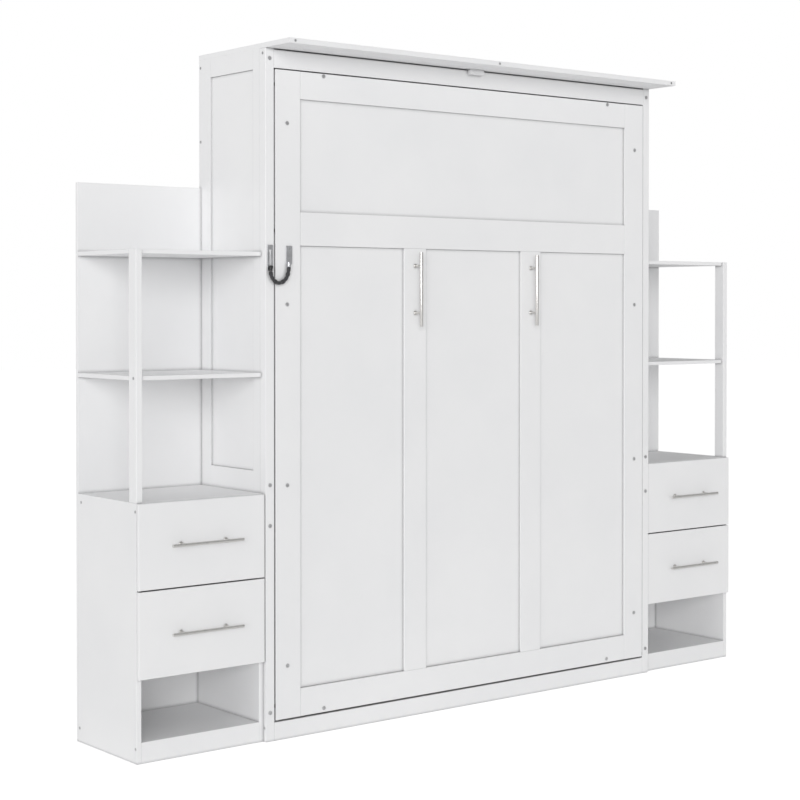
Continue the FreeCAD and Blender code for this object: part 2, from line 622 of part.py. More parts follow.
def cord_path(points):
    """Straight runs joined by tangent arcs, with the arc radii and the whole length."""
    edges = []
    radii = []
    spot = points[0]
    for before, corner, after in zip(points, points[1:], points[2:]):
        back = (before - corner).normalize()
        ahead = (after - corner).normalize()
        shorter = min((before - corner).Length, (after - corner).Length)
        half_turn = (math.pi - back.getAngle(ahead)) / 2
        inset = ARC_SHARE * shorter
        radii.append(inset / math.tan(half_turn))
        start = corner + back * inset
        stop = corner + ahead * inset
        toward = (back + ahead).normalize()
        middle = corner + toward * (radii[-1] / math.cos(half_turn) - radii[-1])
        edges.append(Part.LineSegment(spot, start).toShape())
        edges.append(Part.Arc(start, middle, stop).toShape())
        spot = stop
    edges.append(Part.LineSegment(spot, points[-1]).toShape())
    return Part.Wire(edges), radii


def build_cord():
    y = value("face_y") + value("ferrule_v")
    radius = value("cord_r")
    wire, radii = cord_path([FreeCAD.Vector(x, y, z) for x, z in CORD_ROUTE])
    start = FreeCAD.Vector(CORD_ROUTE[0][0], y, CORD_ROUTE[0][1])
    heading = wire.Edges[0].tangentAt(wire.Edges[0].FirstParameter)
    section = Part.Wire([Part.makeCircle(radius, start, heading)])
    tube = doc.addObject("Part::Feature", "cord")
    tube.Shape = wire.makePipeShell([section], True, True)
    node("chain_cord", [tube])
    full = math.pi * radius ** 2 * wire.Length
    print("cord length %.1f" % wire.Length, "radii", ["%.1f" % r for r in radii])
    print("cord volume ratio %.4f" % (tube.Shape.Volume / full))


def export():
    os.makedirs("parts", exist_ok=True)
    doc.recompute()
    faulty = [obj.Name for obj in doc.Objects if {"Invalid", "Error"} & set(obj.State)]
    if faulty:
        raise RuntimeError("features that failed: %s" % faulty)
    for part in nodes:
        if part.Shape.isNull() or not part.Shape.isValid():
            raise RuntimeError("bad shape: " + part.Label)
        part.Shape.exportStep("parts/%s.step" % part.Label)
    print("sub-parts", len(nodes))


fill_sheet()
probe = doc.addObject("Part::Vertex", "probe")
build_cabinet()
build_crown()
build_fasteners()
build_bumpers()
build_door()
build_bed_frame()
build_pivots()
build_legs()
build_struts()
build_door_handles()
build_towers()
build_drawers()
build_latch()
build_cord()
export()
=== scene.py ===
import json
import math

import bmesh
import bpy
from bpy.props import FloatProperty, FloatVectorProperty, IntProperty, PointerProperty
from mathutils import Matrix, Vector


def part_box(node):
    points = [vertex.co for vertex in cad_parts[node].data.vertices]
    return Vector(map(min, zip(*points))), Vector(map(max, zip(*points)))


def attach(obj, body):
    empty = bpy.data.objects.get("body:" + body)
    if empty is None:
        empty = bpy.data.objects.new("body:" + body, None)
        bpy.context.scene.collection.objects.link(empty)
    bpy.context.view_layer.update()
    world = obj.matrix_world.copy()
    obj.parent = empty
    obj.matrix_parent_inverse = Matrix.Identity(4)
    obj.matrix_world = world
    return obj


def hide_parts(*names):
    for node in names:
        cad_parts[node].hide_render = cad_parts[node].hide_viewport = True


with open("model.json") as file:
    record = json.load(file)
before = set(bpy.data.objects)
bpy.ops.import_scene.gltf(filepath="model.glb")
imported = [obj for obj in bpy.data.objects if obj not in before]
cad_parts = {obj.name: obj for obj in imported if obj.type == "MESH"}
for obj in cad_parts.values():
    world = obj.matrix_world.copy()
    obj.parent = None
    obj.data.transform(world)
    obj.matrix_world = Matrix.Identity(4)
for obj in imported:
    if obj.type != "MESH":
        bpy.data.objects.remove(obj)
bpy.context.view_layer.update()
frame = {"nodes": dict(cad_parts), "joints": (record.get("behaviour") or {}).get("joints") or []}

bl_info = {
    "name": "Wall bed finish",
    "version": (1, 0, 0),
    "blender": (4, 5, 0),
    "location": "View3D > Sidebar > Wall bed",
    "description": "Paint, timber, metal and cord for a folding wall bed between two shelf towers",
    "category": "Object",
}

MM = 0.001
AXIS_X = Vector((1, 0, 0))
AXIS_Y = Vector((0, 1, 0))
AXIS_Z = Vector((0, 0, 1))

# Vertices closer than this are one, and how the eased edges are rounded.
WELD_GAP = 0.00002
EASE_SEGMENTS = 3
EASE_ANGLE = math.radians(50)

# Where the studio stands, in metres.
AIM = (0.0, 0.0, 1.1)
KEY_PLACE = (-6.0, -1.6, 3.2)
KEY_SIZE = 4.0
FILL_PLACE = (-5.0, -6.2, 1.5)
FLOOR_HALF = 30
FLOOR_CELLS = 8
FLOOR_DROP = 0.0005

# Swellings on the chain: sides, rows, the radius at their ends as a share of the middle, their
# half length as a share of the spacing, and the flattened width of every second one.
LINK_SIDES = 14
LINK_ROWS = 7
LINK_WAIST = 0.55
LINK_HALF = 0.47
LINK_FLAT = 0.8

# Lean and fineness of the sleeve's strands.
STRAND_LEAN = 0.9
STRAND_TILT = 0.6
STRAND_SCALE = 170.0

# Distance of each handle post from the middle of its bar, and a collar's profile as inset and
# height.
DOOR_POST = 0.078
DRAWER_POST = 0.080
COLLAR_PROFILE = (
    (0.0, -0.0002), (0.0, 0.0008), (0.0006, 0.0016), (0.0018, 0.0021), (0.0028, 0.0022),
)
LATHE_STEPS = 28

# A strut seal's profile as radius and height, and the tube's radius that it closes.
SEAL_PROFILE = (
    (0.0041, -0.004), (0.0066, -0.004), (0.0068, -0.001), (0.0066, 0.002), (0.0052, 0.0035),
    (0.0041, 0.004),
)
TUBE_RADIUS = 0.0062

# A slat holder's wall, its lip past the slat's edge, how much its corners are cut off as a share
# of the wall, and the four-sided faces that close each end of its ten-point section.
HOLDER_WALL = 0.0022
HOLDER_LIP = 0.005
HOLDER_CUT = 0.4
HOLDER_ENDS = ((0, 1, 2, 9), (9, 2, 3, 4), (9, 4, 5, 8), (8, 5, 6, 7))

# How far into a corner the painted shade reaches, and the shade tone it darkens the paint to.
SHADE_REACH = 0.011
PAINTED_SHADE_COLOUR = (0.12, 0.12, 0.125, 1.0)

# The chain's route is the part's own, in millimetres across and up.
CORD_ROUTE = (
    (-779.0, 1489.7), (-780.5, 1457.0), (-816.0, 1434.0), (-846.0, 1453.0), (-848.5, 1475.8),
)

# Which nodes each finish covers.
PAINTED = (
    "side_frames", "face_stiles", "face_top_rail", "face_base_rail", "crown_board", "crown_block",
    "side_panels", "door_stiles", "door_top_rail", "door_mid_rail", "door_bottom_rail",
    "door_dividers", "door_upper_panel", "door_lower_panels", "tower_sides", "tower_backs",
    "tower_boards", "tower_plinths", "tower_posts", "tower_shelves",
)
BOARDED = ("back_board", "wall_rails", "bed_side_rails", "bed_end_rails")
TIMBER = ("bed_centre_beam", "bed_slats")
PLATED = (
    "pivot_brackets", "strut_anchors", "strut_studs", "leg_pins", "legs", "chain_track",
    "chain_plate", "slide_rails",
)
HEADS = (
    "face_bolts", "door_bolts", "cabinet_screws", "tower_screws", "track_screws", "plate_screws",
)
SIDES = ("left", "right")
LEVELS = ("upper", "lower")


# ---------------------------------------------------------------- settings


class PaintSettings(bpy.types.PropertyGroup):
    colour: FloatVectorProperty(
        name="Paint", description="White satin paint on the fronts and carcasses",
        subtype="COLOR", size=3, min=0, max=1, default=(0.86, 0.86, 0.865))
    shade: FloatVectorProperty(
        name="Paint shade", description="Slightly deeper tone where the coat is thin",
        subtype="COLOR", size=3, min=0, max=1, default=(0.83, 0.832, 0.84))
    roughness: FloatProperty(
        name="Sheen roughness", description="Satin paint roughness", default=0.42, min=0, max=1)
    stipple: FloatProperty(
        name="Stipple", description="Height of the sprayed paint's fine stipple",
        subtype="DISTANCE", unit="LENGTH", default=0.00006, min=0)
    # Strength of the painted shade that darkens the paint in joints, corners and recesses.
    seam: FloatProperty(
        name="Painted shade in seams", description="How much the paint darkens in joints and corners",
        default=0.75, min=0, max=1)
    edge: FloatProperty(
        name="Eased edge", description="Rounding along the board edges",
        subtype="DISTANCE", unit="LENGTH", default=0.0014, min=0)


class TimberSettings(bpy.types.PropertyGroup):
    pale: FloatVectorProperty(
        name="Early wood", description="Pale bands of the slats",
        subtype="COLOR", size=3, min=0, max=1, default=(0.72, 0.53, 0.33))
    dark: FloatVectorProperty(
        name="Late wood", description="Dark bands of the slats",
        subtype="COLOR", size=3, min=0, max=1, default=(0.47, 0.29, 0.14))
    holder: FloatProperty(
        name="Holder", description="Length of the moulded holder on each slat end",
        subtype="DISTANCE", unit="LENGTH", default=0.045, min=0.01)
    edge: FloatProperty(
        name="Slat edge", description="Rounding along the slats",
        subtype="DISTANCE", unit="LENGTH", default=0.003, min=0)


class MetalSettings(bpy.types.PropertyGroup):
    satin: FloatVectorProperty(
        name="Satin steel", description="Brushed bar handles",
        subtype="COLOR", size=3, min=0, max=1, default=(0.74, 0.73, 0.71))
    plated: FloatVectorProperty(
        name="Zinc plate", description="Brackets, plates, legs and rails",
        subtype="COLOR", size=3, min=0, max=1, default=(0.62, 0.63, 0.65))
    head: FloatVectorProperty(
        name="Fixings", description="Bolt and screw heads, darker than the plates",
        subtype="COLOR", size=3, min=0, max=1, default=(0.62, 0.62, 0.63))
    collar: FloatProperty(
        name="Collar radius", description="Radius of the collar under each handle post",
        subtype="DISTANCE", unit="LENGTH", default=0.0075, min=0.001)


class ChainSettings(bpy.types.PropertyGroup):
    colour: FloatVectorProperty(
        name="Sleeve", description="Black sleeve of the safety chain",
        subtype="COLOR", size=3, min=0, max=1, default=(0.018, 0.018, 0.02))
    diameter: FloatProperty(
        name="Diameter", description="Diameter of the sleeved chain",
        subtype="DISTANCE", unit="LENGTH", default=0.010, min=0.001)
    links: IntProperty(
        name="Links", description="Links that swell the sleeve along its length",
        default=8, min=2, max=40)
    link_radius: FloatProperty(
        name="Link radius", description="Half the width of a swelling",
        subtype="DISTANCE", unit="LENGTH", default=0.0072, min=0.001)


class StageSettings(bpy.types.PropertyGroup):
    camera: FloatVectorProperty(
        name="Camera", description="Camera position", subtype="TRANSLATION", unit="LENGTH",
        size=3, default=(-3.9805, -4.7214, 1.3667))
    turn: FloatProperty(
        name="Turn", description="Camera heading", subtype="ANGLE", unit="ROTATION",
        default=math.radians(-38.518))
    tilt: FloatProperty(
        name="Tilt", description="Camera tilt above level", subtype="ANGLE", unit="ROTATION",
        default=math.radians(-0.77))
    lens: FloatProperty(name="Lens", description="Focal length in millimetres", default=79.84)
    rise: FloatProperty(name="Rise", description="Vertical lens shift", default=-0.0875)
    floor: FloatVectorProperty(
        name="Floor", description="Pale studio floor", subtype="COLOR", size=3, min=0, max=1,
        default=(0.93, 0.93, 0.93))
    floor_glow: FloatProperty(
        name="Floor glow", description="Light the floor shows the camera, like a lit table",
        default=0.55)
    floor_bounce: FloatProperty(
        name="Floor bounce", description="Light the floor gives off towards the bed", default=0.14)
    dome: FloatProperty(name="Dome", description="Strength of the even sky light", default=0.45)
    key: FloatProperty(
        name="Key light", description="Soft light from the left", unit="POWER", default=40)
    fill: FloatProperty(
        name="Fill light", description="Broad even light from the camera's side", default=2.2)
    fill_spread: FloatProperty(
        name="Fill spread", description="How wide the fill light's source is", subtype="ANGLE",
        unit="ROTATION", default=math.radians(40))


GROUPS = (
    ("wall_bed_paint", PaintSettings),
    ("wall_bed_timber", TimberSettings),
    ("wall_bed_metal", MetalSettings),
    ("wall_bed_chain", ChainSettings),
    ("wall_bed_stage", StageSettings),
)


def settings(context, name):
    return getattr(context.scene, "wall_bed_" + name)


# ---------------------------------------------------------------- shader parts

SURFACE_SOCKETS = (
    ("Color", "NodeSocketColor"), ("Roughness", "NodeSocketFloat"), ("Normal", "NodeSocketVector"),
)


def add_node(tree, kind, x, y, **inputs):
    """A node with some of its sockets set, by name with underscores for spaces."""
    made = tree.nodes.new(kind)
    made.location = (x, y)
    for name, value in inputs.items():
        made.inputs[name.replace("_", " ")].default_value = value
    return made


def new_group(name, sockets_in, sockets_out):
    """An empty shader group with typed sockets, and its two end nodes."""
    tree = bpy.data.node_groups.new(name, "ShaderNodeTree")
    for label, kind in sockets_in:
        tree.interface.new_socket(name=label, in_out="INPUT", socket_type=kind)
    for label, kind in sockets_out:
        tree.interface.new_socket(name=label, in_out="OUTPUT", socket_type=kind)
    start = tree.nodes.new("NodeGroupInput")
    start.location = (-900, 0)
    stop = tree.nodes.new("NodeGroupOutput")
    stop.location = (700, 0)
    return tree, start, stop


def mix_colours(tree, x, y, factor, first, second):
    """Blend two colour sockets by a factor socket."""
    mix = tree.nodes.new("ShaderNodeMix")
    mix.data_type = "RGBA"
    mix.location = (x, y)
    tree.links.new(factor, mix.inputs[0])
    tree.links.new(first, mix.inputs[6])
    tree.links.new(second, mix.inputs[7])
    return mix.outputs[2]


def spread(tree, x, y, value, low, high):
    """Map a noise value between two sockets."""
    node = tree.nodes.new("ShaderNodeMapRange")
    node.location = (x, y)
    tree.links.new(value, node.inputs["Value"])
    node.inputs["From Min"].default_value = 0.3
    node.inputs["From Max"].default_value = 0.7
    tree.links.new(low, node.inputs["To Min"])
    tree.links.new(high, node.inputs["To Max"])
    return node.outputs["Result"]


def surface_ends(tree, noise, start, stop, relief):
    """Roughness and normal of a surface, both from one noise."""
    rough = spread(
        tree, 0, 0, noise.outputs["Fac"], start.outputs["Rough Low"], start.outputs["Rough High"])
    tree.links.new(rough, stop.inputs["Roughness"])
    bump = add_node(tree, "ShaderNodeBump", 300, -250, Strength=1.0)
    tree.links.new(noise.outputs["Fac"], bump.inputs["Height"])
    tree.links.new(start.outputs[relief], bump.inputs["Distance"])
    tree.links.new(bump.outputs["Normal"], stop.inputs["Normal"])


def coat_group():
    """Cloudy tone, roughness spread, painted shade darkening joints and corners, and a fine
    stipple, for any coat.
    """
    floats = ("Cloud Scale", "Stipple Scale", "Stipple", "Rough Low", "Rough High", "Seam")
    tree, start, stop = new_group(
        "Coated surface",
        [("Base", "NodeSocketColor"), ("Shade", "NodeSocketColor")]
        + [(name, "NodeSocketFloat") for name in floats],
        SURFACE_SOCKETS,
    )
    place = add_node(tree, "ShaderNodeTexCoord", -900, -300)
    cloud = add_node(tree, "ShaderNodeTexNoise", -600, 200, Detail=5.0, Roughness=0.55)
    fine = add_node(tree, "ShaderNodeTexNoise", -600, -200, Detail=3.0, Roughness=0.6)
    for noise, scale in ((cloud, "Cloud Scale"), (fine, "Stipple Scale")):
        tree.links.new(place.outputs["Object"], noise.inputs["Vector"])
        tree.links.new(start.outputs[scale], noise.inputs["Scale"])
    tone = add_node(tree, "ShaderNodeMapRange", -350, 300, From_Min=0.35, From_Max=0.7)
    tree.links.new(cloud.outputs["Fac"], tone.inputs["Value"])
    colour = mix_colours(
        tree, 0, 200, tone.outputs["Result"], start.outputs["Base"], start.outputs["Shade"])
    # Painted shade: where ambient occlusion finds the surface hidden, its colour is darkened
    # towards the shade tone, in joints, corners and recesses.
    shut = add_node(tree, "ShaderNodeAmbientOcclusion", -350, 600, Distance=SHADE_REACH)
    shut.samples = 4
    hidden = add_node(tree, "ShaderNodeMath", -150, 600)
    hidden.operation = "SUBTRACT"
    hidden.inputs[0].default_value = 1.0
    tree.links.new(shut.outputs["AO"], hidden.inputs[1])
    depth = add_node(tree, "ShaderNodeMath", 0, 600)
    depth.operation = "MULTIPLY"
    tree.links.new(hidden.outputs[0], depth.inputs[0])
    tree.links.new(start.outputs["Seam"], depth.inputs[1])
    dark = tree.nodes.new("ShaderNodeRGB")
    dark.location = (0, 450)
    dark.outputs[0].default_value = PAINTED_SHADE_COLOUR
    shaded_colour = mix_colours(tree, 300, 400, depth.outputs[0], colour, dark.outputs[0])
    tree.links.new(shaded_colour, stop.inputs["Color"])
    surface_ends(tree, fine, start, stop, "Stipple")
    return tree


def streak_group():
    """Long streaks along one direction, for timber grain and brushed metal."""
    tree, start, stop = new_group(
        "Long streaks",
        [("Base", "NodeSocketColor"), ("Shade", "NodeSocketColor"), ("Stretch", "NodeSocketVector"),
         ("Scale", "NodeSocketFloat"), ("Relief", "NodeSocketFloat"),
         ("Rough Low", "NodeSocketFloat"), ("Rough High", "NodeSocketFloat")],
        SURFACE_SOCKETS,
    )
    place = add_node(tree, "ShaderNodeTexCoord", -1100, -300)
    pull = add_node(tree, "ShaderNodeVectorMath", -850, -200)
    pull.operation = "MULTIPLY"
    tree.links.new(place.outputs["Object"], pull.inputs[0])
    tree.links.new(start.outputs["Stretch"], pull.inputs[1])
    noise = add_node(
        tree, "ShaderNodeTexNoise", -600, -100, Detail=6.0, Roughness=0.62, Distortion=0.25)
    tree.links.new(pull.outputs["Vector"], noise.inputs["Vector"])
    tree.links.new(start.outputs["Scale"], noise.inputs["Scale"])
    tone = add_node(tree, "ShaderNodeMapRange", -350, 200, From_Min=0.38, From_Max=0.66)
    tree.links.new(noise.outputs["Fac"], tone.inputs["Value"])
    colour = mix_colours(
        tree, 0, 200, tone.outputs["Result"], start.outputs["Base"], start.outputs["Shade"])
    tree.links.new(colour, stop.inputs["Color"])
    surface_ends(tree, noise, start, stop, "Relief")
    return tree


def shared_group(name, builder):
    return bpy.data.node_groups.get(name) or builder()


def finish_material(name, group, values, metallic=0.0, coat=0.0, specular=0.5):
    """A material whose colour, roughness and normal come from one shared group."""
    found = bpy.data.materials.get(name)
    if found:
        return found
    made = bpy.data.materials.new(name)
    made.use_nodes = True
    tree = made.node_tree
    shader = tree.nodes["Principled BSDF"]
    shader.inputs["Metallic"].default_value = metallic
    shader.inputs["Coat Weight"].default_value = coat
    shader.inputs["Specular IOR Level"].default_value = specular
    node = tree.nodes.new("ShaderNodeGroup")
    node.node_tree = group
    node.location = (-400, 200)
    for socket, value in values.items():
        node.inputs[socket].default_value = value
    tree.links.new(node.outputs["Color"], shader.inputs["Base Color"])
    tree.links.new(node.outputs["Roughness"], shader.inputs["Roughness"])
    tree.links.new(node.outputs["Normal"], shader.inputs["Normal"])
    return made


def opaque(colour):
    return (*colour, 1.0)


# Each coat can carry painted shade in its joints and corners, at a given strength.
def coated(
        name, base, shade, roughness, stipple, scale=(3.0, 420.0), spread_by=0.05, seam=0.0,
        **more):
    """A coat from the shared group; scale is that of its clouds and of its stipple."""
    return finish_material(
        name, shared_group("Coated surface", coat_group),
        {"Base": opaque(base), "Shade": opaque(shade), "Cloud Scale": scale[0],
         "Stipple Scale": scale[1], "Stipple": stipple,
         "Rough Low": roughness - spread_by, "Rough High": roughness + spread_by, "Seam": seam},
        **more)


def streaked(name, base, shade, stretch, scale, relief, rough, **more):
    """Grain or brushing from the shared group; rough is its lowest and highest roughness."""
    return finish_material(
        name, shared_group("Long streaks", streak_group),
        {"Base": opaque(base), "Shade": opaque(shade), "Stretch": stretch, "Scale": scale,
         "Relief": relief, "Rough Low": rough[0], "Rough High": rough[1]},
        **more)


def white_paint(context):
    paint = settings(context, "paint")
    # The white paint carries painted shade in its joints, corners and recesses.
    return coated(
        "white satin paint", paint.colour, paint.shade, paint.roughness, paint.stipple,
        seam=paint.seam)


def faced_board(context):
    paint = settings(context, "paint")
    tone = [channel * 0.97 for channel in paint.colour]
    shade = [channel * 0.94 for channel in paint.shade]
    return coated(
        "white faced board", tone, shade, roughness=0.55, stipple=paint.stipple * 1.5,
        scale=(8.0, 900.0))


def bare_pine(context):
    timber = settings(context, "timber")
    return streaked(
        "bare pine", timber.pale, timber.dark, stretch=(1.2, 22.0, 26.0), scale=2.4,
        relief=0.0002, rough=(0.5, 0.68))


def satin_steel(context, name, stretch):
    metal = settings(context, "metal")
    shade = [channel * 0.82 for channel in metal.satin]
    return streaked(
        name, metal.satin, shade, stretch, scale=60.0, relief=0.00002, rough=(0.22, 0.36),
        metallic=1.0)


def zinc_plate(context):
    metal = settings(context, "metal")
    shade = [channel * 0.8 for channel in metal.plated]
    return coated(
        "zinc plate", metal.plated, shade, roughness=0.33, stipple=0.00001,
        scale=(45.0, 900.0), spread_by=0.08, metallic=1.0)


def fixing_steel(context):
    tone = settings(context, "metal").head
    shade = [channel * 0.6 for channel in tone]
    # The fixings carry a faint painted shade where they are hidden from the light, near the boards
    # they sit on.
    return coated(
        "fixing steel", tone, shade, roughness=0.38, stipple=0.00002, scale=(300.0, 1500.0),
        spread_by=0.06, seam=0.1, metallic=0.8)


def moulded_black():
    return coated(
        "moulded black", (0.02, 0.02, 0.021), (0.032, 0.032, 0.034), roughness=0.48,
        stipple=0.00005, scale=(60.0, 1200.0))


def strut_paint():
    return coated(
        "black strut paint", (0.012, 0.012, 0.013), (0.02, 0.02, 0.021), roughness=0.28,
        stipple=0.00002, coat=0.4)


def rod_chrome():
    return coated(
        "ground rod", (0.72, 0.73, 0.75), (0.66, 0.67, 0.69), roughness=0.12, stipple=0.000002,
        scale=(60.0, 1500.0), spread_by=0.04, metallic=1.0)


def matt_rubber():
    return coated(
        "matt rubber", (0.016, 0.016, 0.016), (0.028, 0.028, 0.028), roughness=0.78,
        stipple=0.0001, scale=(30.0, 1600.0))


def braided_sleeve(context):
    """Black sleeve with two crossing sets of strands standing out of it."""
    chain = settings(context, "chain")
    name = "braided sleeve"
    found = bpy.data.materials.get(name)
    if found:
        return found
    made = bpy.data.materials.new(name)
    made.use_nodes = True
    tree = made.node_tree
    shader = tree.nodes["Principled BSDF"]
    shader.inputs["Roughness"].default_value = 0.55
    shader.inputs["Sheen Weight"].default_value = 0.2
    place = add_node(tree, "ShaderNodeTexCoord", -1200, 0)
    strands = []
    for index, lean in enumerate((STRAND_LEAN, -STRAND_LEAN)):
        turn = add_node(
            tree, "ShaderNodeMapping", -950, -300 * index,
            Rotation=(lean, lean * STRAND_TILT, lean))
        tree.links.new(place.outputs["Object"], turn.inputs["Vector"])
        wave = add_node(
            tree, "ShaderNodeTexWave", -700, -300 * index,
            Scale=STRAND_SCALE, Distortion=0.6, Detail=1.0)
        tree.links.new(turn.outputs["Vector"], wave.inputs["Vector"])
        strands.append(wave.outputs["Fac"])
    cross = add_node(tree, "ShaderNodeMath", -450, -150)
    cross.operation = "MAXIMUM"
    for index, strand in enumerate(strands):
        tree.links.new(strand, cross.inputs[index])
    # Painted sheen and painted shade: the strands' crests are coloured lighter and the grooves
    # between them darker, following the same pattern as the bump.
    ramp = tree.nodes.new("ShaderNodeValToRGB")
    ramp.location = (-250, 150)
    ramp.color_ramp.elements[0].color = opaque([channel * 0.5 for channel in chain.colour])
    ramp.color_ramp.elements[1].color = opaque([channel * 2.2 for channel in chain.colour])
    tree.links.new(cross.outputs[0], ramp.inputs["Fac"])
    tree.links.new(ramp.outputs["Color"], shader.inputs["Base Color"])
    bump = add_node(tree, "ShaderNodeBump", -250, -250, Strength=0.8, Distance=0.0004)
    tree.links.new(cross.outputs[0], bump.inputs["Height"])
    tree.links.new(bump.outputs["Normal"], shader.inputs["Normal"])
    return made


# ---------------------------------------------------------------- mesh helpers


def paint_node(name, material, edge=0.0):
    """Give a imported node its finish, and ease its edges without touching its mesh."""
    thing = frame["nodes"][name]
    if not thing.material_slots:
        raise RuntimeError(name + " has no material slot")
    for place in thing.material_slots:
        place.link = "OBJECT"
        place.material = material
    if edge:
        weld = thing.modifiers.new("join", "WELD")
        weld.merge_threshold = WELD_GAP
        ease = thing.modifiers.new("ease", "BEVEL")
        ease.width = edge
        ease.segments = EASE_SEGMENTS
        ease.limit_method = "ANGLE"
        ease.angle_limit = EASE_ANGLE
        ease.harden_normals = False


def mesh_object(name, shape, material, body):
    """Turn a bmesh into a piece that rides on a body."""
    data = bpy.data.meshes.new(name)
    bmesh.ops.recalc_face_normals(shape, faces=shape.faces)
    shape.to_mesh(data)
    shape.free()
    data.materials.append(material)
    piece = bpy.data.objects.new(name, data)
    bpy.context.scene.collection.objects.link(piece)
    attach(piece, body)
    return piece


def lathe(shape, profile, centre, axis, steps=LATHE_STEPS):
    """Spin (radius, height) points round an axis through a centre, as a closed surface."""
    turn = axis.to_track_quat("Z", "Y").to_matrix()
    rings = []
    for radius, height in profile:
        ring = []
        for index in range(steps):
            angle = 2 * math.pi * index / steps
            local = Vector((radius * math.cos(angle), radius * math.sin(angle), height))
            ring.append(shape.verts.new(centre + turn @ local))
        rings.append(ring)
    for low, high in zip(rings, rings[1:]):
        for index in range(steps):
            after = (index + 1) % steps
            face = shape.faces.new((low[index], low[after], high[after], high[index]))
            face.smooth = True
    shape.faces.new(list(reversed(rings[0])))
    shape.faces.new(rings[-1])


def islands(name):
    """The boxes of a node's separate solids, as (low, high) corners."""
    data = frame["nodes"][name].data
    shape = bmesh.new()
    shape.from_mesh(data)
    bmesh.ops.remove_doubles(shape, verts=shape.verts, dist=WELD_GAP)
    seen = set()
    boxes = []
    for first in shape.verts:
        if first in seen:
            continue
        stack = [first]
        group = []
        seen.add(first)
        while stack:
            vert = stack.pop()
            group.append(vert.co.copy())
            for edge in vert.link_edges:
                other = edge.other_vert(vert)
                if other not in seen:
                    seen.add(other)
                    stack.append(other)
        low = Vector([min(spot[axis] for spot in group) for axis in range(3)])
        high = Vector([max(spot[axis] for spot in group) for axis in range(3)])
        boxes.append((low, high))
    shape.free()
    return boxes


# ---------------------------------------------------------------- operators


class WALLBED_OT_stage(bpy.types.Operator):
    """Camera, pale floor and soft studio light"""
    bl_idname = "wall_bed.stage"
    bl_label = "Stage"

    def execute(self, context):
        stage = settings(context, "stage")
        self.camera(context, stage)
        self.floor(context, stage)
        self.lights(context, stage)
        return {"FINISHED"}

    def camera(self, context, stage):
        data = bpy.data.cameras.new("camera")
        data.sensor_width = 36
        data.lens = stage.lens
        data.shift_y = stage.rise
        data.clip_start = 0.05
        data.clip_end = 200
        camera = bpy.data.objects.new("camera", data)
        camera.location = stage.camera
        camera.rotation_euler = (math.pi / 2 + stage.tilt, 0, stage.turn)
        context.scene.collection.objects.link(camera)
        context.scene.camera = camera

    def floor(self, context, stage):
        shape = bmesh.new()
        bmesh.ops.create_grid(
            shape, x_segments=FLOOR_CELLS, y_segments=FLOOR_CELLS, size=FLOOR_HALF)
        data = bpy.data.meshes.new("floor")
        shape.to_mesh(data)
        shape.free()
        made = coated("studio floor", stage.floor, stage.floor, 0.9, 0.00002, specular=0.1)
        tree = made.node_tree
        shader = tree.nodes["Principled BSDF"]
        shader.inputs["Emission Color"].default_value = (1, 1, 1, 1)
        seen = tree.nodes.new("ShaderNodeLightPath")
        glow = add_node(tree, "ShaderNodeMath", -200, -300)
        glow.operation = "MULTIPLY_ADD"
        glow.inputs[1].default_value = stage.floor_glow - stage.floor_bounce
        glow.inputs[2].default_value = stage.floor_bounce
        tree.links.new(seen.outputs["Is Camera Ray"], glow.inputs[0])
        tree.links.new(glow.outputs[0], shader.inputs["Emission Strength"])
        data.materials.append(made)
        floor = bpy.data.objects.new("floor", data)
        floor.location.z = -FLOOR_DROP
        context.scene.collection.objects.link(floor)

    def lights(self, context, stage):
        world = bpy.data.worlds.new("dome")
        context.scene.world = world
        world.use_nodes = True
        tree = world.node_tree
        sky = tree.nodes["Background"]
        sky.inputs["Color"].default_value = (1, 1, 1, 1)
        sky.inputs["Strength"].default_value = stage.dome
        backdrop = add_node(tree, "ShaderNodeBackground", 0, -150, Strength=1.0)
        backdrop.inputs["Color"].default_value = (1, 1, 1, 1)
        seen = tree.nodes.new("ShaderNodeLightPath")
        join = tree.nodes.new("ShaderNodeMixShader")
        tree.links.new(seen.outputs["Is Camera Ray"], join.inputs["Fac"])
        tree.links.new(sky.outputs["Background"], join.inputs[1])
        tree.links.new(backdrop.outputs["Background"], join.inputs[2])
        tree.links.new(join.outputs["Shader"], tree.nodes["World Output"].inputs["Surface"])
        key = self.lamp(context, "key", "AREA", KEY_PLACE, stage.key)
        key.size = KEY_SIZE
        fill = self.lamp(context, "fill", "SUN", FILL_PLACE, stage.fill)
        fill.angle = stage.fill_spread
        context.scene.view_settings.view_transform = "Standard"

    def lamp(self, context, name, kind, place, power):
        """A lamp aimed at the middle of the bed."""
        data = bpy.data.lights.new(name, kind)
        data.energy = power
        light = bpy.data.objects.new(name, data)
        light.location = place
        aim = Vector(AIM) - light.location
        light.rotation_euler = aim.to_track_quat("-Z", "Y").to_euler()
        context.scene.collection.objects.link(light)
        return data


